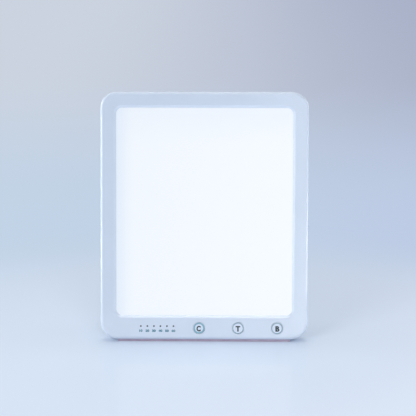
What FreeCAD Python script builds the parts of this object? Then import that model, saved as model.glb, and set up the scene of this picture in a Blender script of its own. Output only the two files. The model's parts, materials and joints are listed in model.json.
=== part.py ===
import FreeCAD, Part
import os
from math import cos, radians, tan

# Light therapy lamp: a thin edge-lit panel that leans back on a fold-out kickstand. Millimetres.
#
# Each piece is drawn in the upright panel frame: X across, Y from the front face (negative) to the
# back face (0), Z up from the panel's lower edge (0). lean_back() then tips the panel back and sets
# it on the table, and main() puts the middle of the footprint at the origin. The front faces -Y.

V = FreeCAD.Vector

# ---- driving dimensions: the case --------------------------------------------------------------
panel_width = 200.0
panel_height = 239.0
panel_depth = 14.0
corner_radius = 16.5
front_edge_radius = 2.75
rear_edge_radius = 3.0
seam_bevel = 0.25         # on both shells' outer edges where they meet
opening_edge_radius = 0.25  # round the window and the button holes
rear_edge_break = 0.2     # round every opening in the back cover
wall = 1.8
lean_deg = 9.0            # the panel leans back this far from upright
corner_lift = 0.3         # height of the square lower rear corner line above the table

half_width = panel_width / 2
front_y = -panel_depth
split_y = -8.5            # front bezel and back cover meet in this plane
skin_y = front_y + 2.0    # inner face of the bezel's front skin
tongue_height = 1.0       # the cover's tongue stands this far into the bezel
tongue_wall = 0.85
fit_gap = 0.05

# ---- the window and the stack of sheets behind it ----------------------------------------------
window_half_width = 87.25
window_bottom = 21.0
window_top = 226.0
window_radius = 8.2
bevel_width = 2.5
bevel_depth = 1.1

stack_half_width = 91.5
stack_bottom = 18.2
stack_top = 230.0
stack_corner = 1.5
diffuser_y = front_y + bevel_depth
diffuser_thick = 1.4
film_thick = 0.25
guide_thick = 3.0
reflector_thick = 0.25
spreader_thick = 0.8
stack_gap = 0.2           # side play of the diffuser in the bezel's rebate

film_y = diffuser_y + diffuser_thick
guide_y = film_y + film_thick
reflector_y = guide_y + guide_thick
spreader_y = reflector_y + reflector_thick
spreader_back_y = spreader_y + spreader_thick

led_count = 34
led_pitch = 6.0
led_height = 1.2          # from the strip to the light guide's edge
led_width = 3.5
led_margin = 0.2
strip_thick = 1.0
strip_bottom = 20.5
strip_top = 226.5

foam_x = 60.0
foam_width = 8.0
foam_bottom = 44.0
foam_top = 180.0

# ---- buttons, switches and time lights ---------------------------------------------------------
button_x = {"colour": -4.9, "timer": 32.7, "brightness": 70.4}
button_z = 11.1
button_radius = 5.6
button_hole_radius = 5.85
button_flange_radius = 6.4
button_flange_thick = 0.8
button_proud = 0.1
button_edge_radius = 0.25
switch_size = 4.6
switch_thick = 2.0
plunger_radius = 1.12
plunger_bore_radius = 1.2
plunger_bore_depth = 1.1
plunger_length = 1.3

light_count = 6
light_pitch = 6.3
light_first_x = -61.1
light_z = 12.9
light_radius = 0.84
light_hole_radius = 0.87
light_collar_radius = 1.35
light_collar_thick = 0.8
light_pipe_gap = 0.1      # between the pipe's end and its LED
indicator_led_size = (1.6, 0.8, 0.6)

# ---- control board ------------------------------------------------------------------------------
board_front_y = -8.4
board_thick = 1.0
board_back_y = board_front_y + board_thick
board_left = -66.0
board_right = 77.0
board_bottom = 3.2
board_top = 15.2
board_screw_places = [(-62.0, 5.9), (-34.0, 5.9), (44.0, 9.0)]
standoff_radius = 1.9
board_screw_radius = 0.8
board_screw_head_radius = 1.7
board_screw_head_thick = 1.0
board_screw_length = 3.6
board_screw_tip = 0.2     # gap between the screw's tip and the bottom of its hole
screw_slot = {"case": 0.6, "board": 0.45}

# Components on the back of the board: left, right, bottom, top, height above the board.
control_chip_box = (-48.0, -41.0, 5.7, 12.7, 1.0)
led_driver_box = (56.5, 61.5, 9.4, 14.4, 1.1)
connector_boxes = [(-66.0, -61.0, 9.6, 13.6, 3.0),
                   (64.0, 69.0, 9.6, 13.6, 3.0),
                   (57.0, 62.0, 4.0, 8.2, 3.0)]
round_part_z = 9.2
inductor_x = 29.6
inductor_radius = 3.2
inductor_height = 3.4
capacitor_x = [36.2, 40.0, -54.0]
capacitor_radius = 1.7
capacitor_height = 3.6

# Internal leads: each route runs to its connector, and its last run is square to the connector.
lead_radius = 0.5
strip_foot_y = -9.8
left_lead_route = [(-93.2, strip_foot_y, 15.8), (-86.0, -8.8, 14.6), (-76.5, -6.2, 12.0),
                   (-71.0, -5.9, 11.6), (-66.0, -5.9, 11.6)]
right_lead_route = [(93.2, strip_foot_y, 16.25), (81.0, -9.8, 16.2), (75.8, -6.1, 15.6),
                    (72.8, -5.9, 11.6), (69.0, -5.9, 11.6)]
positive_lead_route = [(62.0, -5.9, 7.2), (66.5, -5.9, 7.2), (75.0, -5.7, 10.6), (79.5, -5.7, 10.6)]
negative_lead_route = [(62.0, -5.9, 5.2), (66.5, -5.9, 5.2), (75.0, -5.7, 8.0), (79.5, -5.7, 8.0)]

# ---- case screws --------------------------------------------------------------------------------
lower_screw_z = 10.2
upper_screw_z = 233.4
lower_screw_x = [-92.0, -25.2, 51.6, 92.0]
upper_screw_x = [-84.0, -30.0, 30.0, 84.0]
bezel_boss_radius = 2.6
cover_post_radius = 3.1
screw_radius = 1.15
screw_clear_radius = 1.35
screw_tip_y = -11.0
head_radius = 2.1
head_thick = 1.3
counterbore_radius = 2.3
counterbore_depth = 2.6

# ---- DC socket, facing back -------------------------------------------------------------------
socket_x = 84.0
socket_z = 11.0
socket_size = 9.0
socket_front_y = -11.2
socket_shoulder_y = -wall
socket_nose_radius = 3.9
socket_nose_y = -0.2
socket_hole_radius = 4.0
socket_bore_radius = 2.85
socket_bore_y = -10.4
socket_pin_radius = 1.05
socket_pin_y = -1.2
socket_pin_edge = 0.3
socket_pin_root_radius = 0.8  # of the pin's root, pressed into the socket's floor
contact_thick = 0.3
contact_height = 2.0
contact_end_y = -4.2
contact_gap = 0.1

# ---- kickstand, drawn folded into its recess -----------------------------------------------------
hinge_z = 165.0
hinge_y = -2.75
stand_open_deg = 15.0     # from folded to its open stop
stand_half_width = 19.9
stand_front_y = -5.1
stand_back_y = -0.3
stand_skin = 1.6
stand_rim = 1.8
stand_barrel_radius = 2.4
stand_bore_radius = 1.3
stand_tail_height = 5.0
stand_tail_depth = 1.44   # the tail's front face stands this far in front of the hinge axis
stand_tail_back = 1.2     # and its back face this far behind
stand_pad_corner = 1.0
stand_edge_radius = 0.8
stand_end_z = 4.2         # the stiff leg ends here and the rubber pad goes on
stand_rib_count = 6
stand_rib = 1.2
stand_pocket_bottom = 8.0
stand_pocket_top = 158.0
grip_count = 4
grip_pitch = 3.0
grip_first_z = 10.0
grip_half_width = 12.0
grip_radius = 0.6
pin_radius = 1.25
pin_half_length = 24.8
washer_inner_radius = 1.3
washer_outer_radius = 2.3
washer_thick = 0.5

recess_half_width = 20.6
recess_y = -5.5
recess_top = hinge_z + 7.0
recess_wall = 1.5
ear_radius = 2.7
ear_length = 3.0
scoop_x = 29.0            # finger scoops reach this far from the middle
scoop_y = -4.6
scoop_bottom = 22.0
scoop_top = 38.0
scoop_radius = 4.0

# ---- foot strip and vents ------------------------------------------------------------------------
foot_half_length = 83.0
foot_front_y = -11.7
foot_back_y = -10.1
foot_groove = 0.8

vent_rows = 6
vent_pitch = 5.0
vent_first_z = 190.0
vent_inner_x = 40.0
vent_outer_x = 80.0
vent_height = 1.8


# ---- helpers -------------------------------------------------------------------------------------
def block(x0, x1, y0, y1, z0, z1):
    """A square block between the given limits."""
    return Part.makeBox(x1 - x0, y1 - y0, z1 - z0, V(x0, y0, z0))


def side_block(side, near, far, y0, y1, z0, z1):
    """A square block on the left (-1) or right (1), between two distances from the middle."""
    return block(min(side * near, side * far), max(side * near, side * far), y0, y1, z0, z1)


def slab(x0, x1, y0, y1, z0, z1, radius):
    """A block whose four edges along Y are rounded."""
    solid = block(x0, x1, y0, y1, z0, z1)
    edges = [e for e in solid.Edges if abs(e.tangentAt(e.FirstParameter).y) > 0.99]
    return solid.makeFillet(radius, edges)


def case_slab(inset, y0, y1):
    """The case's outline, drawn in by inset, between two depths."""
    x = half_width - inset
    return slab(-x, x, y0, y1, inset, panel_height - inset, corner_radius - inset)


def sheet(y0, thickness):
    """One sheet of the light stack."""
    return slab(-stack_half_width, stack_half_width, y0, y0 + thickness,
                stack_bottom, stack_top, stack_corner)


def rod(x, z, radius, y0, y1):
    """A cylinder along the panel's depth."""
    return Part.makeCylinder(radius, y1 - y0, V(x, y0, z), V(0, 1, 0))


def cross_rod(y, z, radius, x0, x1):
    """A cylinder across the panel."""
    return Part.makeCylinder(radius, x1 - x0, V(x0, y, z), V(1, 0, 0))


def edges_at_depth(solid, y):
    """The edges that lie in the plane at depth y."""
    box = [(e, e.BoundBox) for e in solid.Edges]
    return [e for e, b in box if abs(b.YMin - y) < 1e-4 and abs(b.YMax - y) < 1e-4]


def opening_edges(solid, y, rim):
    """The edges of the openings in the flat face at depth y, which ends at a rounded rim of this width."""
    margin = rim + 0.01
    found = []
    for edge in edges_at_depth(solid, y):
        box = edge.BoundBox
        at_side = max(-box.XMin, box.XMax) > half_width - margin
        at_end = box.ZMax < margin or box.ZMin > panel_height - margin
        if not (at_side or at_end):
            found.append(edge)
    return found


def window_outline(inset, y):
    """The window's outline, drawn in by inset, at depth y."""
    x = window_half_width - inset
    face = slab(-x, x, y, y + 1, window_bottom + inset, window_top - inset, window_radius - inset)
    return Part.Wire(Part.__sortEdges__(edges_at_depth(face, y)))


def screw(x, z, radius, tip_y, seat_y, head_r, head_t, slot):
    """A pan-head screw driven in from the back, with a cross recess in its head."""
    body = rod(x, z, radius, tip_y, seat_y).fuse(rod(x, z, head_r, seat_y, seat_y + head_t))
    reach = head_r * 0.62
    bottom = seat_y + head_t * 0.45
    top = seat_y + head_t + 1
    body = body.cut(block(x - reach, x + reach, bottom, top, z - slot / 2, z + slot / 2))
    return body.cut(block(x - slot / 2, x + slot / 2, bottom, top, z - reach, z + reach))


def lead(points, radius):
    """A round lead along straight runs joined by tangent arcs."""
    points = [V(*p) for p in points]
    edges = []
    start = points[0]
    for before, corner, after in zip(points, points[1:], points[2:]):
        back = (before - corner).normalize()
        ahead = (after - corner).normalize()
        reach = 0.45 * min((before - corner).Length, (after - corner).Length)
        arc_start = corner + back * reach
        arc_end = corner + ahead * reach
        half_turn = (radians(180) - back.getAngle(ahead)) / 2
        bisector = (back + ahead).normalize()
        bend = reach / tan(half_turn)
        middle = corner + bisector * (bend / cos(half_turn) - bend)
        edges.append(Part.LineSegment(start, arc_start).toShape())
        edges.append(Part.Arc(arc_start, middle, arc_end).toShape())
        start = arc_end
    edges.append(Part.LineSegment(start, points[-1]).toShape())
    path = Part.Wire(edges)
    section = Part.Wire(Part.makeCircle(radius, points[0], points[1] - points[0]))
    return path.makePipeShell([section], True, True)


def case_screw_places():
    """The eight case screws, as (x, z)."""
    lower = [(x, lower_screw_z) for x in lower_screw_x]
    return lower + [(x, upper_screw_z) for x in upper_screw_x]


def light_places():
    """The x of each time light, from ten minutes to sixty."""
    return [light_first_x + i * light_pitch for i in range(light_count)]


# ---- case ------------------------------------------------------------------------------------------
def make_front_bezel():
    bezel = case_slab(0, front_y, split_y)
    bezel = bezel.makeFillet(front_edge_radius, edges_at_depth(bezel, front_y))
    bezel = bezel.makeChamfer(seam_bevel, edges_at_depth(bezel, split_y))
    bezel = bezel.cut(case_slab(wall, skin_y, split_y))
    groove = wall - tongue_wall - fit_gap
    bezel = bezel.cut(case_slab(groove, split_y - tongue_height - 0.1, split_y))
    bevel = Part.makeLoft([window_outline(0, front_y), window_outline(bevel_width, diffuser_y)], True)
    bezel = bezel.cut(bevel)
    rebate_x = stack_half_width + stack_gap
    bezel = bezel.cut(slab(-rebate_x, rebate_x, diffuser_y, skin_y,
                           stack_bottom - stack_gap, stack_top + stack_gap, stack_corner))
    for x, z in case_screw_places():
        bezel = bezel.fuse(rod(x, z, bezel_boss_radius, skin_y, split_y))
        bezel = bezel.cut(rod(x, z, screw_radius, screw_tip_y - 0.2, split_y))
    for x, z in board_screw_places:
        bezel = bezel.fuse(rod(x, z, standoff_radius, skin_y, board_front_y))
        bezel = bezel.cut(rod(x, z, board_screw_radius, board_front_y - board_screw_length, board_front_y))
    for x in button_x.values():
        bezel = bezel.cut(rod(x, button_z, button_hole_radius, front_y, skin_y))
    bezel = bezel.cut(foot_block(-1))
    bezel = bezel.makeFillet(opening_edge_radius, opening_edges(bezel, front_y, front_edge_radius))
    for x in light_places():
        bezel = bezel.cut(rod(x, light_z, light_hole_radius, front_y, skin_y))
    return bezel.removeSplitter()


def make_back_cover():
    outer = case_slab(0, split_y, 0)
    outer = outer.makeFillet(rear_edge_radius, edges_at_depth(outer, 0))
    outer = outer.makeChamfer(seam_bevel, edges_at_depth(outer, split_y))
    shell = outer.cut(case_slab(wall, split_y, -wall))
    tongue = case_slab(wall - tongue_wall, split_y - tongue_height, split_y + wall)
    shell = shell.fuse(tongue.cut(case_slab(wall, split_y - tongue_height, split_y + wall)))
    added = [stand_tub()]
    for x, z in case_screw_places():
        added.append(rod(x, z, cover_post_radius, split_y, -wall / 2))
    for side in (-1, 1):
        inner = side * (recess_half_width + recess_wall / 2)
        outer_x = side * (recess_half_width + recess_wall + ear_length)
        added.append(cross_rod(hinge_y, hinge_z, ear_radius, min(inner, outer_x), max(inner, outer_x)))
    for piece in added:
        shell = shell.fuse(piece.common(outer))
    for cutter in cover_cutters():
        shell = shell.cut(cutter)
    shell = shell.removeSplitter()
    return shell.makeChamfer(rear_edge_break, opening_edges(shell, 0, rear_edge_radius))


def stand_tub():
    """The solid block that the kickstand's recess and its finger scoops are cut into."""
    x = recess_half_width + recess_wall
    tub = block(-x, x, recess_y - recess_wall, 0, 0, recess_top + recess_wall)
    x = scoop_x + recess_wall
    rim = slab(-x, x, scoop_y - recess_wall, 0, scoop_bottom - recess_wall,
               scoop_top + recess_wall, scoop_radius + recess_wall)
    return tub.fuse(rim)


def cover_cutters():
    """Everything that is cut from the back cover: recess, holes, pockets and vents."""
    cutters = [block(-recess_half_width, recess_half_width, recess_y, 1, -1, recess_top)]
    cutters.append(slab(-scoop_x, scoop_x, scoop_y, 1, scoop_bottom, scoop_top, scoop_radius))
    reach = recess_half_width + recess_wall + ear_length
    cutters.append(cross_rod(hinge_y, hinge_z, pin_radius, -reach, reach))
    for x, z in case_screw_places():
        cutters.append(rod(x, z, screw_clear_radius, split_y, 0))
        cutters.append(rod(x, z, counterbore_radius, -counterbore_depth, 1))
    cutters.append(rod(socket_x, socket_z, socket_hole_radius, -wall - 1, 1))
    for side in (-1, 1):
        left_x = min(side * vent_inner_x, side * vent_outer_x)
        for row in range(vent_rows):
            z = vent_first_z + row * vent_pitch
            cutters.append(slab(left_x, left_x + vent_outer_x - vent_inner_x, -wall - 1, 1,
                                z - vent_height / 2, z + vent_height / 2, vent_height * 0.49))
    return cutters


def make_case_screws():
    return [screw(x, z, screw_radius, screw_tip_y, -counterbore_depth, head_radius, head_thick,
                  screw_slot["case"])
            for x, z in case_screw_places()]


def foot_block(bottom):
    """The space of the rubber strip along the lower edge, from its groove down to this height.

    The strip itself is cut flat on the table after the lean.
    """
    return block(-foot_half_length, foot_half_length, foot_front_y, foot_back_y, bottom, foot_groove)


# ---- light stack -------------------------------------------------------------------------------------
def make_heat_spreader():
    """A flat aluminium plate with a flange bent forward along each side to carry an LED strip."""
    x = stack_half_width + led_height + strip_thick
    plate = block(-x - spreader_thick, x + spreader_thick, spreader_y, spreader_back_y,
                  stack_bottom, stack_top)
    for side in (-1, 1):
        plate = plate.fuse(side_block(side, x, x + spreader_thick, guide_y, spreader_y,
                                      stack_bottom, stack_top))
    return plate.removeSplitter()


def make_led_strip(side):
    near = stack_half_width + led_height
    return side_block(side, near, near + strip_thick, guide_y, reflector_y, strip_bottom, strip_top)


def make_leds(side):
    first_z = (strip_bottom + strip_top - (led_count - 1) * led_pitch) / 2
    leds = []
    for i in range(led_count):
        z = first_z + i * led_pitch
        leds.append(side_block(side, stack_half_width, stack_half_width + led_height,
                               guide_y + led_margin, reflector_y - led_margin,
                               z - led_width / 2, z + led_width / 2))
    return leds


def make_foam_strips():
    return [block(x - foam_width / 2, x + foam_width / 2, spreader_back_y, -wall, foam_bottom, foam_top)
            for x in (-foam_x, foam_x)]


# ---- buttons and board ---------------------------------------------------------------------------------
def make_button(x):
    cap = rod(x, button_z, button_radius, front_y - button_proud, skin_y + fit_gap)
    cap = cap.makeFillet(button_edge_radius, edges_at_depth(cap, front_y - button_proud))
    flange_y = skin_y + fit_gap
    return cap.fuse(rod(x, button_z, button_flange_radius, flange_y, flange_y + button_flange_thick))


def make_plunger(x):
    y = skin_y + fit_gap + button_flange_thick
    return rod(x, button_z, plunger_radius, y, y + plunger_length)


def make_switch_bodies():
    bodies = []
    half = switch_size / 2
    y = board_front_y - switch_thick
    for x in button_x.values():
        body = block(x - half, x + half, y, board_front_y, button_z - half, button_z + half)
        bodies.append(body.cut(rod(x, button_z, plunger_bore_radius, y, y + plunger_bore_depth)))
    return bodies


def make_light_pipes():
    pipes = []
    for x in light_places():
        pipe = rod(x, light_z, light_radius, front_y, board_front_y - indicator_led_size[2] - light_pipe_gap)
        pipes.append(pipe.fuse(rod(x, light_z, light_collar_radius, skin_y, skin_y + light_collar_thick)))
    return pipes


def make_indicator_leds():
    width, height, depth = indicator_led_size
    return [block(x - width / 2, x + width / 2, board_front_y - depth, board_front_y,
                  light_z - height / 2, light_z + height / 2)
            for x in light_places()]


def make_control_board():
    board = block(board_left, board_right, board_front_y, board_back_y, board_bottom, board_top)
    for x in lower_screw_x[1:3]:
        board = board.cut(rod(x, lower_screw_z, cover_post_radius + 0.3, board_front_y, board_back_y))
    for x, z in board_screw_places:
        board = board.cut(rod(x, z, board_screw_radius + 0.15, board_front_y, board_back_y))
    return board


def make_board_screws():
    tip_y = board_front_y - board_screw_length + board_screw_tip
    return [screw(x, z, board_screw_radius, tip_y, board_back_y,
                  board_screw_head_radius, board_screw_head_thick, screw_slot["board"])
            for x, z in board_screw_places]


def board_block(x0, x1, z0, z1, height):
    """A component on the back of the control board."""
    return block(x0, x1, board_back_y, board_back_y + height, z0, z1)


def make_led_lead(route):
    """A lead from the foot of an LED strip down and along its route."""
    strip_foot = (route[0][0], strip_foot_y, strip_bottom)
    return lead([strip_foot] + route, lead_radius)


def board_rod(x, radius, height):
    """A round component on the back of the control board."""
    return rod(x, round_part_z, radius, board_back_y, board_back_y + height)


# ---- DC socket ------------------------------------------------------------------------------------------
def make_socket_body():
    half = socket_size / 2
    body = block(socket_x - half, socket_x + half, socket_front_y, socket_shoulder_y,
                 socket_z - half, socket_z + half)
    body = body.fuse(rod(socket_x, socket_z, socket_nose_radius, socket_shoulder_y, socket_nose_y))
    body = body.cut(rod(socket_x, socket_z, socket_bore_radius, socket_bore_y, socket_nose_y))
    body = body.cut(rod(socket_x, socket_z, socket_pin_root_radius, socket_front_y, socket_bore_y))
    return body.cut(socket_contact_space())


def socket_contact_space():
    """The side slot that the spring contact lies in, just outside the bore."""
    x = socket_x + socket_bore_radius
    half = contact_height / 2 + contact_gap
    return block(x - contact_thick, x + contact_gap + contact_thick, socket_bore_y,
                 contact_end_y + contact_gap, socket_z - half, socket_z + half)


def make_socket_contact():
    x = socket_x + socket_bore_radius + contact_gap
    half = contact_height / 2
    return block(x, x + contact_thick, socket_bore_y, contact_end_y, socket_z - half, socket_z + half)


def make_socket_pin():
    """The centre pin, with a shoulder on the socket's floor and a thinner root in it."""
    pin = rod(socket_x, socket_z, socket_pin_radius, socket_bore_y, socket_pin_y)
    pin = pin.makeFillet(socket_pin_edge, edges_at_depth(pin, socket_pin_y))
    return pin.fuse(rod(socket_x, socket_z, socket_pin_root_radius, socket_front_y, socket_bore_y))


# ---- kickstand ------------------------------------------------------------------------------------------
def make_kickstand():
    """The leg: a thin skin with a rim and ribs on its hidden side, a hinge barrel and a stop tail."""
    leg = block(-stand_half_width, stand_half_width, stand_front_y, stand_back_y, stand_end_z, hinge_z)
    outer_edges = [e for e in edges_at_depth(leg, stand_back_y) if e.BoundBox.ZLength > 1]
    leg = leg.makeFillet(stand_edge_radius, outer_edges)
    pitch = (stand_pocket_top - stand_pocket_bottom + stand_rib) / stand_rib_count
    for row in range(stand_rib_count):
        z = stand_pocket_bottom + row * pitch
        for side in (-1, 1):
            leg = leg.cut(side_block(side, stand_rib / 2, stand_half_width - stand_rim, stand_front_y,
                                     stand_back_y - stand_skin, z, z + pitch - stand_rib))
    for i in range(grip_count):
        z = grip_first_z + i * grip_pitch
        leg = leg.cut(cross_rod(stand_back_y, z, grip_radius, -grip_half_width, grip_half_width))
    barrel = cross_rod(hinge_y, hinge_z, stand_barrel_radius, -stand_half_width, stand_half_width)
    tail = block(-stand_half_width, stand_half_width, hinge_y - stand_tail_depth, hinge_y + stand_tail_back,
                 hinge_z, hinge_z + stand_tail_height)
    leg = leg.fuse(barrel).fuse(tail)
    return leg.cut(cross_rod(hinge_y, hinge_z, stand_bore_radius, -half_width, half_width)).removeSplitter()


def make_stand_pad():
    """The rubber end of the leg, long enough to be cut flat on the table once the leg is open."""
    return slab(-stand_half_width, stand_half_width, stand_front_y, stand_back_y, -6, stand_end_z,
                stand_pad_corner)


def make_hinge_washers():
    washers = []
    for x in (-stand_half_width - washer_thick - fit_gap, stand_half_width + fit_gap):
        ring = cross_rod(hinge_y, hinge_z, washer_outer_radius, x, x + washer_thick)
        washers.append(ring.cut(cross_rod(hinge_y, hinge_z, washer_inner_radius, x, x + washer_thick)))
    return washers


# ---- placing ----------------------------------------------------------------------------------------------
def open_stand(solid):
    """Swings a kickstand piece from folded to its open stop."""
    solid = solid.copy()
    solid.rotate(V(0, hinge_y, hinge_z), V(1, 0, 0), stand_open_deg)
    return solid


def lean_back(solid):
    """Tips a piece back with the panel and lifts it to its height above the table."""
    solid = solid.copy()
    solid.rotate(V(0, 0, 0), V(1, 0, 0), -lean_deg)
    solid.translate(V(0, 0, corner_lift))
    return solid


def cut_on_table(solid):
    """Cuts a foot flat in the plane of the table."""
    return solid.cut(block(-half_width, half_width, -panel_height, panel_height, -50, 0))


def make_nodes():
    """Every node's solids, leaned back and standing on the table."""
    upright = {
        "front_bezel": [make_front_bezel()],
        "back_cover": [make_back_cover()],
        "case_screws": make_case_screws(),
        "diffuser_panel": [sheet(diffuser_y, diffuser_thick)],
        "prism_film": [sheet(film_y, film_thick)],
        "light_guide_plate": [sheet(guide_y, guide_thick)],
        "reflector_sheet": [sheet(reflector_y, reflector_thick)],
        "heat_spreader": [make_heat_spreader()],
        "led_strip_left": [make_led_strip(-1)],
        "led_strip_right": [make_led_strip(1)],
        "leds_left": make_leds(-1),
        "leds_right": make_leds(1),
        "foam_strips": make_foam_strips(),
        "control_board": [make_control_board()],
        "board_screws": make_board_screws(),
        "switch_bodies": make_switch_bodies(),
        "indicator_leds": make_indicator_leds(),
        "indicator_light_pipes": make_light_pipes(),
        "control_chip": [board_block(*control_chip_box)],
        "led_driver_chip": [board_block(*led_driver_box)],
        "driver_inductor": [board_rod(inductor_x, inductor_radius, inductor_height)],
        "driver_capacitors": [board_rod(x, capacitor_radius, capacitor_height) for x in capacitor_x],
        "board_connectors": [board_block(*box) for box in connector_boxes],
        "led_lead_left": [make_led_lead(left_lead_route)],
        "led_lead_right": [make_led_lead(right_lead_route)],
        "socket_lead_positive": [lead(positive_lead_route, lead_radius)],
        "socket_lead_negative": [lead(negative_lead_route, lead_radius)],
        "dc_socket_body": [make_socket_body()],
        "dc_socket_contact": [make_socket_contact()],
        "dc_socket_pin": [make_socket_pin()],
        "hinge_pin": [cross_rod(hinge_y, hinge_z, pin_radius, -pin_half_length, pin_half_length)],
        "hinge_washers": make_hinge_washers(),
    }
    for name, x in button_x.items():
        upright[name + "_button"] = [make_button(x)]
        upright[name + "_switch_plunger"] = [make_plunger(x)]
    nodes = {name: [lean_back(s) for s in solids] for name, solids in upright.items()}
    nodes["foot_strip"] = [cut_on_table(lean_back(foot_block(-4)))]
    nodes["kickstand"] = [lean_back(open_stand(make_kickstand()))]
    nodes["stand_end_pad"] = [cut_on_table(lean_back(open_stand(make_stand_pad())))]
    return nodes


def main():
    nodes = make_nodes()
    whole = Part.makeCompound([solid for solids in nodes.values() for solid in solids])
    box = whole.optimalBoundingBox()
    middle_y = (box.YMin + box.YMax) / 2
    print(f"box {box.XLength:.3f} x {box.YLength:.3f} x {box.ZLength:.3f}, lowest {box.ZMin:.4f}")
    print(f"the panel's lower rear corner line is at y = {-middle_y:.4f}")
    os.makedirs("parts", exist_ok=True)
    for name, solids in nodes.items():
        shape = solids[0] if len(solids) == 1 else Part.makeCompound(solids)
        shape.translate(V(0, -middle_y, 0))
        shape.exportStep(f"parts/{name}.step")


main()
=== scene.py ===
"""A tablet-shaped light therapy lamp on its kickstand: finishes, printed marks, stage and camera.

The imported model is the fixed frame. Everything else is placed from it, in metres.
"""
import json
import math

import bmesh
import bpy
from bpy.props import FloatProperty, FloatVectorProperty, PointerProperty
from bpy.types import Operator, Panel, PropertyGroup
from mathutils import Matrix, Vector


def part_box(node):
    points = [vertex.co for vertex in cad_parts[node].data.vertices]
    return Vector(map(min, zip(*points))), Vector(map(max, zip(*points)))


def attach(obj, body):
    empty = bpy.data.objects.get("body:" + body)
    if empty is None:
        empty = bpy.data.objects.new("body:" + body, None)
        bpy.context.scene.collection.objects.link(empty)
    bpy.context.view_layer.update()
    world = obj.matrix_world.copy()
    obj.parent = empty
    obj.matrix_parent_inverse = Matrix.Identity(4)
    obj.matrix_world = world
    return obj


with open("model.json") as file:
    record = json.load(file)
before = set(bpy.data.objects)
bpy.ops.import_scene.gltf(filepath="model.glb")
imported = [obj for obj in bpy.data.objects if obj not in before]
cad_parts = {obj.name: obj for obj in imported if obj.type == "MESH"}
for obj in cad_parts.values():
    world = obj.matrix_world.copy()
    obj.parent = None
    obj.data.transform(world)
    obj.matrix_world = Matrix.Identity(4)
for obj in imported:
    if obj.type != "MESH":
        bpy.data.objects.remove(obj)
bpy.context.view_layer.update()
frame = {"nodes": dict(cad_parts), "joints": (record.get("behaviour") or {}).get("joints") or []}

bl_info = {
    "name": "Light Therapy Lamp",
    "version": (1, 0, 0),
    "blender": (4, 5, 0),
    "location": "View3D > Sidebar > Therapy Lamp",
    "description": "Finishes, printed marks, stage and camera for a tablet-shaped light therapy lamp",
    "category": "Object",
}

NODES = frame["nodes"]
# Each button's letter, how wide it is against the plain one, and how far right of the button's middle it
# stands, in metres.
KEYS = {"colour": ("C", 0.84, -0.0004), "timer": ("T", 0.97, 0.0), "brightness": ("B", 1.0, 0.0004)}
BOLD_KEY = "colour"
MINUTES = ("10", "20", "30", "40", "50", "60")
RING_SEGMENTS = 96
# Type size over the height of its capitals, before a letter is scaled to its exact height.
TYPE_SIZE = 1.4
# Points this close are one, and an edge this short is none, in metres.
SAME_POINT = 1e-7
NO_LENGTH = 1e-8

# The lit window's glow at its left and upper edges, as shares of the full red, green and blue: lower there by
# a painted shade of the bezel's recess.
LEFT_SHADED_GLOW = (0.805, 0.885, 0.98)
UPPER_SHADED_GLOW = (0.93, 0.95, 0.98)
# Where the painted shade in the glow starts and ends, in metres: across from the lamp's middle, and down from
# the diffuser's upper edge.
LEFT_SHADE_FADE = (-0.0885, -0.066)
UPPER_SHADE_FADE = (0.045, 0.002)

# The table top: its gloss, and where its tones run into each other, in metres from the lamp's middle.
TABLE_SIDES = 96
TABLE_ROUGHNESS = 0.015
TABLE_IOR = 1.25
# The tones across and behind carry painted light and shade: lighter in front on the right, darker behind and
# on the right.
TABLE_ACROSS = (-0.35, 0.55)
TABLE_BEHIND = (-0.1, 0.35)
TABLE_FAR_BEHIND = (0.4, 1.6)
# Round the lamp the table top shows its lights and shadows. Past this it shows a tone with painted light and
# shade: a painted pool of light in front on the right, and painted shade behind the lamp, deepest far off on
# the right. At its end it has run into the background.
TABLE_PAINTED_TONE = (0.12, 0.45)
TABLE_END = (3.0, 5.5)

SENSOR_WIDTH = 36.0  # of the camera, in millimetres
# Each softbox: its name, place in metres, width and height in metres, and power in watts.
SOFT_LIGHTS = (
    ("left_softbox", (-1.8, -0.15, 0.3), (0.5, 1.2), 25.0),
    ("top_softbox", (0.0, 0.25, 1.9), (1.2, 0.8), 12.8),
    ("front_softbox", (0.35, -0.9, 0.3), (0.5, 0.5), 1.65),
    ("low_right_strip", (0.72, -0.3, 0.06), (0.3, 0.1), 1.15),
    ("low_front_strip", (0.28, -0.75, 0.06), (0.35, 0.1), 0.41),
    ("left_front_strip", (-0.62, -0.71, 0.15), (0.12, 0.35), 0.64),
    ("high_front_strip", (0.0, -0.67, 0.76), (0.34, 0.12), 1.15),
    ("low_left_patch", (-0.42, -0.02, 0.045), (0.10, 0.08), 0.22),
    ("low_right_patch", (0.42, -0.02, 0.09), (0.10, 0.17), 0.18),
    ("near_floor_strip", (0.0, -0.25, 0.012), (0.4, 0.02), 0.065),
    ("back_left_softbox", (-1.3, 1.0, 0.5), (0.6, 0.6), 5.0),
    ("back_right_softbox", (1.3, 1.0, 0.5), (0.6, 0.6), 5.0),
)
# The softboxes above light the lamp alone. These light the table top alone, and don't mirror in it.
TABLE_LIGHTS = (
    ("left_table_light", (-1.0, -1.4, 0.9), (0.8, 0.8), 10.8),
    ("front_table_light", (0.3, -1.8, 0.6), (0.8, 0.6), 14.2),
    ("top_table_light", (0.0, 0.25, 1.9), (1.2, 0.8), 13.3),
    ("back_table_light", (0.0, 1.4, 1.4), (1.2, 1.2), 5.4),
)

# ---- directions and places on the leaning panel, read from the frame ---------------------------------
# The buttons travel square to the panel's face, so their axis is the panel's own direction backwards.
BACK = Vector(next(j["axis"] for j in frame["joints"] if j["name"] == "colour_press")).normalized()
RIGHT = Vector((1, 0, 0))
UP = RIGHT.cross(BACK)


def reach(node, direction):
    """The lowest and highest distance of a node's points along a direction."""
    along = [v.co.dot(direction) for v in NODES[node].data.vertices]
    return min(along), max(along)


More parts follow.
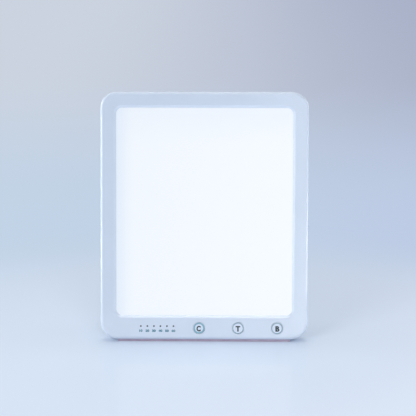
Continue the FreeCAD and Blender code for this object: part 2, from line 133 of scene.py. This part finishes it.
FACE = reach("front_bezel", BACK)[0]
LOWER_EDGE, UPPER_EDGE = reach("front_bezel", UP)
PANEL_DEPTH = reach("back_cover", BACK)[1] - FACE


def on_face(x, height, proud=0.0):
    """A point over the panel's front face: x across, height above its lower edge."""
    return RIGHT * x + UP * (LOWER_EDGE + height) - BACK * (proud - FACE)


def middle(node, direction):
    """The middle of a node along a direction."""
    return sum(reach(node, direction)) / 2


# ---- settings ----------------------------------------------------------------------------------------
def length(name, description, default):
    """A length in metres that a user may change."""
    return FloatProperty(name=name, description=description, default=default, unit="LENGTH",
                         subtype="DISTANCE", precision=5, min=0.0)


def colour(name, description, default):
    """A colour that a user may change."""
    return FloatVectorProperty(name=name, description=description, default=default, size=3,
                               subtype="COLOR", min=0.0, max=1.0)


class LampFinishSettings(PropertyGroup):
    housing_colour: colour("Housing", "Moulded case and kickstand", (0.577, 0.648, 0.760))
    button_colour: colour("Buttons", "Moulded button caps", (0.620, 0.686, 0.797))
    opal_colour: colour("Opal window", "The diffuser's own colour when the lamp is off", (0.30, 0.32, 0.34))
    glow_colour: colour("Glow", "Light from the window at its middle", (0.95, 0.97, 1.0))
    glow_strength: FloatProperty(name="Glow strength", description="How bright the lit window is",
                                 default=0.60, min=0.0, max=20.0)
    housing_roughness: FloatProperty(name="Housing roughness", description="Satin of the moulded case",
                                     default=0.19, min=0.0, max=1.0, subtype="FACTOR")


class LampPrintSettings(PropertyGroup):
    ink_thickness: length("Ink thickness", "Height of the ink over the surface", 0.00003)
    letter_height: length("Letter height", "Height of the letter on each button", 0.0054)
    letter_weight: length("Letter weight", "Extra width on each side of a letter's strokes", 0.00036)
    letter_drop: length("Letter drop", "From a button's middle down to its letter's middle", 0.0005)
    number_height: length("Number height", "Height of the minutes below the time lights", 0.0024)
    number_weight: length("Number weight", "Extra width on each side of a number's strokes", 0.00018)
    number_stretch: FloatProperty(name="Number stretch", default=1.22, min=0.5, max=2.0,
                                  description="How much wider than plain the numbers are")
    number_drop: length("Number drop", "From a time light's middle down to its number's middle", 0.0045)
    ring_radius: length("Ring radius", "Outer radius of the ring printed on a button", 0.00533)
    ring_width: length("Ring width", "Width of a plain ring", 0.00070)
    bold_ring_width: length("Bold ring width", "Width of the ring on the colour button", 0.00140)
    letter_ink: colour("Letter ink", "Ink of the letters", (0.006, 0.018, 0.022))
    ring_ink: colour("Ring ink", "Ink of the plain rings", (0.19, 0.33, 0.40))
    bold_ring_ink: colour("Bold ring ink", "Ink of the ring on the colour button", (0.21, 0.41, 0.50))
    number_ink: colour("Number ink", "Ink of the minutes", (0.03, 0.18, 0.25))


class LampStageSettings(PropertyGroup):
    lens: FloatProperty(name="Lens", description="Focal length on a 36 mm sensor, in millimetres",
                        default=150.0, min=10.0, max=500.0)
    camera_distance: length("Camera distance", "From the camera to the point it aims at", 1.6585)
    camera_pitch: FloatProperty(name="Camera pitch", description="How far the camera looks down",
                                default=math.radians(13.56), subtype="ANGLE", unit="ROTATION")
    camera_turn: FloatProperty(name="Camera turn", description="How far the camera stands to the right",
                               default=math.radians(0.4), subtype="ANGLE", unit="ROTATION")
    camera_roll: FloatProperty(name="Camera roll", description="Turn of the picture about the line of sight",
                               default=math.radians(0.1), subtype="ANGLE", unit="ROTATION")
    aim_x: length("Aim across", "How far right of the lamp's middle the camera aims", 0.0035)
    aim_height: length("Aim height", "Height of the aim above the table", 0.1299)
    floor_radius: length("Floor radius", "The table top runs out to here", 6.0)
    near_floor: colour("Near floor", "Table top round the lamp", (0.70, 0.79, 0.92))
    # Table top tones away from the lamp, with painted light and shade: front right lighter as a painted pool
    # of light, middle right and far right darker as painted shade.
    front_left: colour("Front left", "Before the lamp, on the left", (0.655, 0.760, 0.895))
    front_right: colour("Front right", "Before the lamp, on the right", (0.830, 0.870, 0.990))
    middle_left: colour("Middle left", "Behind the lamp, on the left", (0.540, 0.655, 0.797))
    middle_right: colour("Middle right", "Behind the lamp, on the right", (0.500, 0.588, 0.775))
    far_left: colour("Far left", "Far behind the lamp on the left", (0.597, 0.651, 0.745))
    far_right: colour("Far right", "Far behind the lamp on the right", (0.400, 0.445, 0.583))
    sky: colour("Sky", "Light from the world", (0.90, 0.95, 1.0))
    sky_strength: FloatProperty(name="Sky strength", description="Light from the world", default=0.3,
                                min=0.0, max=10.0)


# ---- building materials ------------------------------------------------------------------------------
class Nodes:
    """A shader node tree, with a short way to add nodes to it."""

    def __init__(self, owner):
        owner.use_nodes = True
        self.tree = owner.node_tree

    def add(self, kind, inputs=None, **settings):
        """Adds a node. Each input is a number or colour to set, or another node's output to link."""
        node = self.tree.nodes.new(kind)
        for key, value in settings.items():
            setattr(node, key, value)
        for key, value in (inputs or {}).items():
            if isinstance(value, bpy.types.NodeSocket):
                self.tree.links.new(value, node.inputs[key])
            else:
                node.inputs[key].default_value = value
        return node

    def backdrop(self, lit, shown, output, amount=1.0):
        """Ends in the lit shader, but shows the other one to the camera and to shiny or clear surfaces."""
        rays = self.add("ShaderNodeLightPath").outputs
        seen = rays["Is Camera Ray"]
        for other in ("Is Glossy Ray", "Is Transmission Ray"):
            seen = self.add("ShaderNodeMath", {0: seen, 1: rays[other]}, operation="MAXIMUM").outputs[0]
        part = self.add("ShaderNodeMath", {0: seen, 1: amount}, operation="MULTIPLY").outputs[0]
        blend = self.add("ShaderNodeMixShader", {0: part, 1: lit, 2: shown}).outputs[0]
        self.tree.links.new(blend, self.tree.nodes[output].inputs["Surface"])


class Finish(Nodes):
    """A procedural material: one Principled shader and the nodes that feed it, in Object coordinates."""

    def __init__(self, name, base, roughness, **sockets):
        self.material = bpy.data.materials.new(name)
        super().__init__(self.material)
        self.shader = self.tree.nodes["Principled BSDF"]
        self.base = base
        self.shader.inputs["Base Color"].default_value = (*base, 1)
        self.shader.inputs["Roughness"].default_value = roughness
        for socket, value in sockets.items():
            self.shader.inputs[socket.replace("_", " ")].default_value = value
        self.place = self.add("ShaderNodeTexCoord").outputs["Object"]

    def noise(self, scale, detail=3.0, stretch=(1, 1, 1)):
        """Cloudy noise between about 0.3 and 0.7, in features of about 1 / scale metres."""
        place = self.add("ShaderNodeMapping", {"Vector": self.place, "Scale": stretch}).outputs[0]
        return self.add("ShaderNodeTexNoise",
                        {"Vector": place, "Scale": scale, "Detail": detail}).outputs["Fac"]

    def span(self, value, low, high, start=0.3, end=0.7):
        """Maps a value from start...end to low...high, smoothly."""
        return self.add("ShaderNodeMapRange", {"Value": value, "From Min": start, "From Max": end,
                                               "To Min": low, "To Max": high},
                        interpolation_type="SMOOTHSTEP").outputs["Result"]

    def mix(self, factor, first, second):
        """The mix of two colours, each three numbers or an output."""
        node = self.add("ShaderNodeMix", {"Factor": factor}, data_type="RGBA")
        for socket, value in ((6, first), (7, second)):
            if isinstance(value, bpy.types.NodeSocket):
                self.tree.links.new(value, node.inputs[socket])
            else:
                node.inputs[socket].default_value = (*value, 1)
        return node.outputs[2]

    def feed(self, socket, value):
        self.tree.links.new(value, self.shader.inputs[socket])
        return self

    def mottle(self, scale, spread):
        """Lets the base colour wander a little, lighter and darker."""
        lighter = tuple(min(1.0, c * (1 + spread)) for c in self.base)
        darker = tuple(c * (1 - spread) for c in self.base)
        return self.feed("Base Color", self.mix(self.span(self.noise(scale), 0, 1), darker, lighter))

    def uneven_gloss(self, scale, low, high):
        return self.feed("Roughness", self.span(self.noise(scale, 5.0), low, high))

    def grain(self, scale, depth, detail=2.0, stretch=(1, 1, 1)):
        """A fine raised texture of about this depth in metres."""
        height = self.noise(scale, detail, stretch)
        return self.feed("Normal", self.add("ShaderNodeBump", {"Height": height, "Distance": depth,
                                                               "Strength": 1.0}).outputs[0])


def moulded(name, base, roughness, grain_scale=2600.0, grain_depth=6e-6):
    """Moulded plastic: slight mottling, uneven gloss and a fine spark-eroded grain."""
    finish = Finish(name, base, roughness)
    finish.mottle(35.0, 0.012).uneven_gloss(60.0, roughness - 0.015, roughness + 0.02)
    return finish.grain(grain_scale, grain_depth).material


def soft_plastic(name, base, roughness=0.55):
    """Soft plastic sheath or unpolished nylon."""
    return Finish(name, base, roughness).mottle(90.0, 0.03).grain(900.0, 1.5e-5).material


def rubber(name, base):
    finish = Finish(name, base, 0.82, Specular_IOR_Level=0.3)
    return finish.mottle(120.0, 0.08).grain(1800.0, 3e-5, 4.0).material


def metal(name, base, roughness, stretch=(1, 1, 1), grain_scale=700.0, grain_depth=4e-6):
    """Bare or plated metal, with marks drawn out along one direction where stretch is uneven."""
    finish = Finish(name, base, roughness, Metallic=1.0)
    finish.mottle(150.0, 0.05).uneven_gloss(200.0, roughness - 0.08, roughness + 0.1)
    return finish.grain(grain_scale, grain_depth, 4.0, stretch).material


def printed(name, base):
    """Screen-printed ink: matt, very slightly uneven."""
    return Finish(name, tuple(base), 0.5, Specular_IOR_Level=0.25).mottle(1500.0, 0.06).material


def opal(settings):
    """The lit opal window. Its glow is darker towards the left and upper edges: painted shade of the bezel's
    recess, in the emission colour.
    """
    finish = Finish("opal_acrylic", settings.opal_colour, 0.42)
    finish.grain(3200.0, 4e-6)
    face = finish.add("ShaderNodeSeparateXYZ", {"Vector": finish.place}).outputs
    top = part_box("diffuser_panel")[1].z
    from_left = finish.span(face["X"], 0, 1, *LEFT_SHADE_FADE)
    from_top = finish.span(face["Z"], 1, 0, *(top - down for down in UPPER_SHADE_FADE))
    full = tuple(settings.glow_colour)
    left, upper = (tuple(channel * share for channel, share in zip(full, shares))
                   for shares in (LEFT_SHADED_GLOW, UPPER_SHADED_GLOW))
    # Emission colour: full glow in the middle, with painted shade towards the left and upper edges.
    finish.feed("Emission Color", finish.mix(from_left, left, finish.mix(from_top, upper, full)))
    finish.shader.inputs["Emission Strength"].default_value = settings.glow_strength
    return finish.material


def paint(material, *nodes):
    """Puts a material on CAD nodes, on the object's own slots."""
    for name in nodes:
        for slot in NODES[name].material_slots:
            slot.link = "OBJECT"
            slot.material = material


# ---- building pieces ---------------------------------------------------------------------------------
def plain_mesh(drawn):
    """Turns an object into a plain mesh with its modifiers or curves worked out, and removes the object."""
    graph = bpy.context.evaluated_depsgraph_get()
    mesh = bpy.data.meshes.new_from_object(drawn.evaluated_get(graph), depsgraph=graph)
    source = drawn.data
    holder = bpy.data.curves if drawn.type == "FONT" else bpy.data.meshes
    bpy.data.objects.remove(drawn)
    holder.remove(source)
    return mesh


def closed(mesh):
    """Merges a mesh's doubled points and turns its faces outwards."""
    work = bmesh.new()
    work.from_mesh(mesh)
    bmesh.ops.remove_doubles(work, verts=work.verts, dist=SAME_POINT)
    bmesh.ops.dissolve_degenerate(work, edges=work.edges, dist=NO_LENGTH)
    bmesh.ops.recalc_face_normals(work, faces=work.faces)
    work.to_mesh(mesh)
    work.free()
    return mesh


def facing_out(centre):
    """The place of a flat shape drawn in X and Y, set on the face at centre and seen from the front."""
    return Matrix.Translation(centre) @ Matrix((RIGHT, UP, -BACK)).transposed().to_4x4()


def set_down(name, mesh, material, body):
    """Makes a finished piece of a mesh that is already in its place."""
    mesh.name = name
    mesh.materials.clear()
    mesh.materials.append(material)
    piece = bpy.data.objects.new(name, mesh)
    bpy.context.scene.collection.objects.link(piece)
    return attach(piece, body)


def lettering(text, height, weight, thickness, stretch=1.0):
    """Flat printed lettering of an exact height, centred on the origin and half sunk in its surface."""
    text_curve = bpy.data.curves.new("lettering", "FONT")
    text_curve.body = text
    text_curve.resolution_u = 8
    text_curve.size = height * TYPE_SIZE
    text_curve.offset = weight
    text_curve.extrude = thickness
    drawn = bpy.data.objects.new("lettering", text_curve)
    bpy.context.scene.collection.objects.link(drawn)
    mesh = closed(plain_mesh(drawn))
    points = [v.co for v in mesh.vertices]
    low = Vector(min(p[i] for p in points) for i in range(3))
    high = Vector(max(p[i] for p in points) for i in range(3))
    grow = height / (high.y - low.y)
    mesh.transform(Matrix.Diagonal((grow * stretch, grow, 1, 1)) @ Matrix.Translation(-(low + high) / 2))
    return mesh


def ring_tree():
    """A flat printed ring about the origin, as a node tree with its sizes as inputs."""
    tree = bpy.data.node_groups.new("printed_ring", "GeometryNodeTree")
    tree.interface.new_socket("Geometry", in_out="INPUT", socket_type="NodeSocketGeometry")
    for name in ("Radius", "Width", "Thickness"):
        tree.interface.new_socket(name, in_out="INPUT", socket_type="NodeSocketFloat")
    tree.interface.new_socket("Segments", in_out="INPUT", socket_type="NodeSocketInt")
    tree.interface.new_socket("Ink", in_out="INPUT", socket_type="NodeSocketMaterial")
    tree.interface.new_socket("Geometry", in_out="OUTPUT", socket_type="NodeSocketGeometry")
    add, link = tree.nodes.new, tree.links.new
    given = add("NodeGroupInput")
    half = add("ShaderNodeMath")
    half.operation = "MULTIPLY"
    half.inputs[1].default_value = 0.5
    link(given.outputs["Width"], half.inputs[0])
    centre_line = add("ShaderNodeMath")
    centre_line.operation = "SUBTRACT"
    link(given.outputs["Radius"], centre_line.inputs[0])
    link(half.outputs[0], centre_line.inputs[1])
    circle = add("GeometryNodeCurvePrimitiveCircle")
    link(given.outputs["Segments"], circle.inputs["Resolution"])
    link(centre_line.outputs[0], circle.inputs["Radius"])
    section = add("GeometryNodeCurvePrimitiveQuadrilateral")
    link(given.outputs["Width"], section.inputs["Width"])
    link(given.outputs["Thickness"], section.inputs["Height"])
    band = add("GeometryNodeCurveToMesh")
    link(circle.outputs[0], band.inputs["Curve"])
    link(section.outputs[0], band.inputs["Profile Curve"])
    real = add("GeometryNodeRealizeInstances")
    link(band.outputs[0], real.inputs[0])
    inked = add("GeometryNodeSetMaterial")
    link(real.outputs[0], inked.inputs["Geometry"])
    link(given.outputs["Ink"], inked.inputs["Material"])
    result = add("NodeGroupOutput")
    link(inked.outputs[0], result.inputs[0])
    return tree


def grown(tree, **inputs):
    """The plain mesh that a node tree makes with these inputs."""
    holder = bpy.data.objects.new("holder", bpy.data.meshes.new("holder"))
    bpy.context.scene.collection.objects.link(holder)
    modifier = holder.modifiers.new("Shape", "NODES")
    modifier.node_group = tree
    sockets = {s.name: s.identifier for s in tree.interface.items_tree if s.in_out == "INPUT"}
    for name, value in inputs.items():
        modifier[sockets[name.replace("_", " ")]] = value
    return plain_mesh(holder)


# ---- operators: the object's finishes and printed marks ----------------------------------------------
class LAMP_OT_housing(Operator):
    """Finish the two shells and the kickstand in cool white moulded plastic"""
    bl_idname = "lamp.housing"
    bl_label = "Housing"

    def execute(self, context):
        settings = context.scene.lamp_finish
        base, rough = tuple(settings.housing_colour), settings.housing_roughness
        rear_rough = rough + 0.23  # the rear has the coarser grain
        paint(moulded("housing_front", base, rough), "front_bezel")
        paint(moulded("housing_rear", base, rear_rough, 1700.0, 1.2e-5), "back_cover", "kickstand")
        return {"FINISHED"}


class LAMP_OT_window(Operator):
    """Finish the lit window and the stack of sheets, strips and LEDs behind it"""
    bl_idname = "lamp.window"
    bl_label = "Window and light stack"

    def execute(self, context):
        paint(opal(context.scene.lamp_finish), "diffuser_panel")
        film = Finish("prism_film", (0.93, 0.95, 0.98), 0.18, Transmission_Weight=0.6)
        film.grain(2500.0, 2e-5, 0.0, (0.02, 1, 1))
        paint(film.material, "prism_film")
        guide = Finish("clear_guide", (0.90, 0.95, 0.97), 0.05, Transmission_Weight=0.9, IOR=1.49)
        guide.mottle(20.0, 0.01)
        paint(guide.material, "light_guide_plate")
        reflector = Finish("reflector_film", (0.90, 0.91, 0.92), 0.7).mottle(300.0, 0.02)
        paint(reflector.material, "reflector_sheet")
        paint(metal("rolled_aluminium", (0.80, 0.81, 0.83), 0.38, (1, 1, 0.03)), "heat_spreader")
        mask = Finish("white_solder_mask", (0.88, 0.88, 0.86), 0.35).mottle(500.0, 0.03)
        paint(mask.material, "led_strip_left", "led_strip_right")
        phosphor = Finish("led_phosphor", (0.90, 0.78, 0.32), 0.3).mottle(2000.0, 0.08)
        paint(phosphor.material, "leds_left", "leds_right", "indicator_leds")
        foam = Finish("closed_cell_foam", (0.03, 0.03, 0.034), 0.95).grain(1500.0, 1e-4, 5.0)
        paint(foam.material, "foam_strips")
        return {"FINISHED"}


class LAMP_OT_buttons(Operator):
    """Finish the three buttons and print a ring and a letter on each"""
    bl_idname = "lamp.buttons"
    bl_label = "Buttons"

    def execute(self, context):
        prints = context.scene.lamp_print
        cap = moulded("button_plastic", tuple(context.scene.lamp_finish.button_colour), 0.34)
        letter_ink = printed("letter_ink", prints.letter_ink)
        plain_ink = printed("ring_ink", prints.ring_ink)
        bold_ink = printed("bold_ring_ink", prints.bold_ring_ink)
        tree = ring_tree()
        for key, (letter, stretch, aside) in KEYS.items():
            button = key + "_button"
            paint(cap, button)
            centre = (RIGHT * middle(button, RIGHT) + UP * middle(button, UP)
                      + BACK * reach(button, BACK)[0])
            ink, width = ((bold_ink, prints.bold_ring_width) if key == BOLD_KEY
                          else (plain_ink, prints.ring_width))
            ring = grown(tree, Radius=prints.ring_radius, Width=width,
                         Thickness=2 * prints.ink_thickness, Segments=RING_SEGMENTS, Ink=ink)
            ring.transform(facing_out(centre))
            set_down(key + "_ring_print", closed(ring), ink, key + "_key")
            mark = lettering(letter, prints.letter_height, prints.letter_weight,
                             prints.ink_thickness, stretch)
            mark.transform(facing_out(centre + RIGHT * aside - UP * prints.letter_drop))
            set_down(key + "_letter_print", mark, letter_ink, key + "_key")
        return {"FINISHED"}


class LAMP_OT_time_lights(Operator):
    """Finish the six time lights and print the minutes below them"""
    bl_idname = "lamp.time_lights"
    bl_label = "Time lights"

    def execute(self, context):
        prints = context.scene.lamp_print
        pipes = "indicator_light_pipes"
        lens = Finish("smoked_lens", (0.045, 0.060, 0.085), 0.12, IOR=1.49).mottle(800.0, 0.1)
        paint(lens.material, pipes)
        ink = printed("number_ink", prints.number_ink)
        bottom, top = reach(pipes, UP)
        left, right = reach(pipes, RIGHT)
        collar = top - bottom
        first, last = left + collar / 2, right - collar / 2
        height = middle(pipes, UP) - LOWER_EDGE - prints.number_drop
        for i, minutes in enumerate(MINUTES):
            x = first + (last - first) * i / (len(MINUTES) - 1)
            number = lettering(minutes, prints.number_height, prints.number_weight,
                               prints.ink_thickness, prints.number_stretch)
            number.transform(facing_out(on_face(x, height)))
            set_down("minutes_print_" + minutes, number, ink, "panel")
        return {"FINISHED"}


class LAMP_OT_controls(Operator):
    """Finish the control board, its components and the leads"""
    bl_idname = "lamp.controls"
    bl_label = "Controls and leads"

    def execute(self, context):
        green, dark_green, trace_green = (0.012, 0.14, 0.05), (0.010, 0.12, 0.045), (0.03, 0.22, 0.09)
        mask = Finish("green_solder_mask", green, 0.28)
        traces = mask.add("ShaderNodeTexBrick", {"Vector": mask.place, "Scale": 220.0, "Mortar Size": 0.08,
                                                 "Color1": (*green, 1), "Color2": (*dark_green, 1),
                                                 "Mortar": (*trace_green, 1)})
        mask.feed("Base Color", traces.outputs["Color"])
        paint(mask.material, "control_board")
        black = moulded("epoxy_black", (0.018, 0.018, 0.020), 0.5, 3000.0, 1e-5)
        paint(black, "switch_bodies", "control_chip", "led_driver_chip")
        paint(soft_plastic("switch_plunger", (0.62, 0.60, 0.52)),
              *(key + "_switch_plunger" for key in KEYS))
        ferrite = Finish("ferrite", (0.035, 0.035, 0.038), 0.6).grain(2200.0, 2e-5, 4.0)
        paint(ferrite.material, "driver_inductor")
        paint(metal("can_aluminium", (0.78, 0.79, 0.82), 0.24), "driver_capacitors")
        paint(soft_plastic("natural_nylon", (0.72, 0.68, 0.56)), "board_connectors")
        paint(soft_plastic("white_sheath", (0.78, 0.78, 0.77)), "led_lead_left", "led_lead_right")
        paint(soft_plastic("red_sheath", (0.42, 0.012, 0.010)), "socket_lead_positive")
        paint(soft_plastic("black_sheath", (0.015, 0.015, 0.016)), "socket_lead_negative")
        return {"FINISHED"}


class LAMP_OT_socket(Operator):
    """Finish the DC socket and its contacts"""
    bl_idname = "lamp.socket"
    bl_label = "DC socket"

    def execute(self, context):
        paint(moulded("socket_black", (0.016, 0.016, 0.018), 0.42, 2400.0, 1e-5), "dc_socket_body")
        paint(metal("nickel_plate", (0.72, 0.70, 0.64), 0.2), "dc_socket_contact", "dc_socket_pin")
        return {"FINISHED"}


class LAMP_OT_hardware(Operator):
    """Finish the screws, the hinge and the rubber feet"""
    bl_idname = "lamp.hardware"
    bl_label = "Screws, hinge and feet"

    def execute(self, context):
        paint(metal("zinc_plate", (0.62, 0.63, 0.66), 0.34), "case_screws", "board_screws")
        paint(metal("ground_steel", (0.60, 0.61, 0.63), 0.28, (1, 0.05, 0.05)), "hinge_pin")
        paint(soft_plastic("washer_nylon", (0.70, 0.70, 0.66)), "hinge_washers")
        paint(rubber("grey_silicone", (0.375, 0.315, 0.41)), "foot_strip", "stand_end_pad")
        return {"FINISHED"}


# ---- operator: the stage -----------------------------------------------------------------------------
def aim(thing, target, roll=0.0):
    """Turns a light or camera to look at a point."""
    turn = (target - thing.location).to_track_quat("-Z", "Y")
    thing.rotation_euler = (turn.to_matrix() @ Matrix.Rotation(roll, 3, "Z")).to_euler()


def soft_light(name, place, target, size, power):
    """A rectangular softbox."""
    light = bpy.data.lights.new(name, "AREA")
    light.shape = "RECTANGLE"
    light.size, light.size_y = size
    light.energy = power
    lamp = bpy.data.objects.new(name, light)
    lamp.visible_camera = False
    lamp.location = place
    bpy.context.scene.collection.objects.link(lamp)
    bpy.context.view_layer.update()
    aim(lamp, target)
    return lamp


def share_out(table, lamp_lights, table_lights):
    """Keeps the lamp's lights off the table top and the table's lights off the lamp."""
    for name, lights, state in (("all_but_table", lamp_lights, "EXCLUDE"),
                                ("table_alone", table_lights, "INCLUDE")):
        receivers = bpy.data.collections.new(name)
        receivers.objects.link(table)
        receivers.collection_objects[0].light_linking.link_state = state
        for light in lights:
            light.light_linking.receiver_collection = receivers
            light.visible_glossy = lights is lamp_lights


def table_top(settings):
    """A round, faintly glossy table top that fades out into a pale background, with painted light and shade
    in its tone.
    """
    mesh = bpy.data.meshes.new("table_top")
    turns = [2 * math.pi * i / TABLE_SIDES for i in range(TABLE_SIDES)]
    rim = [(settings.floor_radius * math.cos(turn), settings.floor_radius * math.sin(turn), 0.0)
           for turn in turns]
    mesh.from_pydata(rim, [], [tuple(range(TABLE_SIDES))])
    floor = bpy.data.objects.new("table_top", mesh)
    bpy.context.scene.collection.objects.link(floor)
    finish = Finish("table_top", settings.near_floor, TABLE_ROUGHNESS, IOR=TABLE_IOR)
    place = finish.add("ShaderNodeSeparateXYZ", {"Vector": finish.place}).outputs
    away = finish.add("ShaderNodeVectorMath", {0: finish.place}, operation="LENGTH").outputs["Value"]
    across = finish.span(place["X"], 0, 1, *TABLE_ACROSS)
    front_tone = finish.mix(across, settings.front_left, settings.front_right)
    middle_tone = finish.mix(across, settings.middle_left, settings.middle_right)
    far_tone = finish.mix(across, settings.far_left, settings.far_right)
    # Painted light and shade: a painted pool of light in front on the right, painted shade behind the lamp
    # and on the right.
    tone = finish.mix(finish.span(place["Y"], 0, 1, *TABLE_BEHIND), front_tone, middle_tone)
    tone = finish.mix(finish.span(place["Y"], 0, 1, *TABLE_FAR_BEHIND), tone, far_tone)
    tone = finish.mix(finish.span(away, 0, 1, *TABLE_END), tone, settings.far_left)
    plain = finish.add("ShaderNodeEmission", {"Color": tone, "Strength": 1.0}).outputs[0]
    painted_share = finish.span(away, 0, 1, *TABLE_PAINTED_TONE)
    finish.backdrop(finish.shader.outputs[0], plain, "Material Output", painted_share)
    mesh.materials.append(finish.material)
    return floor


class LAMP_OT_stage(Operator):
    """Set out the table top, the soft lights and the camera"""
    bl_idname = "lamp.stage"
    bl_label = "Stage"

    def execute(self, context):
        settings = context.scene.lamp_stage
        scene = context.scene
        scene.view_settings.view_transform = "Standard"
        scene.world = bpy.data.worlds.new("sky")
        sky = Nodes(scene.world)
        lit, shown = (sky.add("ShaderNodeBackground", {"Color": (*tone, 1), "Strength": strength}).outputs[0]
                      for tone, strength in ((settings.sky, settings.sky_strength), (settings.far_left, 1.0)))
        sky.backdrop(lit, shown, "World Output")
        table = table_top(settings)

        heart = on_face(0, (UPPER_EDGE - LOWER_EDGE) / 2)
        lamp_lights, table_lights = ([soft_light(name, Vector(place), heart, size, power)
                                      for name, place, size, power in lights]
                                     for lights in (SOFT_LIGHTS, TABLE_LIGHTS))
        share_out(table, lamp_lights, table_lights)

        camera = bpy.data.objects.new("camera", bpy.data.cameras.new("camera"))
        scene.collection.objects.link(camera)
        camera.data.sensor_width = SENSOR_WIDTH
        camera.data.lens = settings.lens
        foot = on_face(0, 0, -PANEL_DEPTH)
        target = Vector((settings.aim_x, foot.y, settings.aim_height))
        pitch, turn = settings.camera_pitch, settings.camera_turn
        line_of_sight = Vector((-math.sin(turn) * math.cos(pitch), math.cos(turn) * math.cos(pitch),
                                -math.sin(pitch)))
        camera.location = target - settings.camera_distance * line_of_sight
        aim(camera, target, settings.camera_roll)
        scene.camera = camera
        return {"FINISHED"}


class LAMP_PT_sidebar(Panel):
    """Lists the lamp's operators and their settings"""
    bl_idname = "LAMP_PT_sidebar"
    bl_label = "Therapy Lamp"
    bl_space_type = "VIEW_3D"
    bl_region_type = "UI"
    bl_category = "Therapy Lamp"

    def draw(self, context):
        for operator in OPERATORS:
            self.layout.operator(operator.bl_idname)
        for group in (context.scene.lamp_finish, context.scene.lamp_print, context.scene.lamp_stage):
            box = self.layout.box()
            for name in group.__annotations__:
                box.prop(group, name)


SETTINGS = {"lamp_finish": LampFinishSettings, "lamp_print": LampPrintSettings,
            "lamp_stage": LampStageSettings}
OPERATORS = (LAMP_OT_stage, LAMP_OT_housing, LAMP_OT_window, LAMP_OT_buttons, LAMP_OT_time_lights,
             LAMP_OT_controls, LAMP_OT_socket, LAMP_OT_hardware)


def register():
    for cls in (*SETTINGS.values(), *OPERATORS, LAMP_PT_sidebar):
        bpy.utils.register_class(cls)
    for name, cls in SETTINGS.items():
        setattr(bpy.types.Scene, name, PointerProperty(type=cls))


def unregister():
    for name in SETTINGS:
        delattr(bpy.types.Scene, name)
    for cls in reversed((*SETTINGS.values(), *OPERATORS, LAMP_PT_sidebar)):
        bpy.utils.unregister_class(cls)


def main():
    register()
    for operator in OPERATORS:
        group, name = operator.bl_idname.split(".")
        getattr(getattr(bpy.ops, group), name)()


if __name__ == "__main__":
    main()
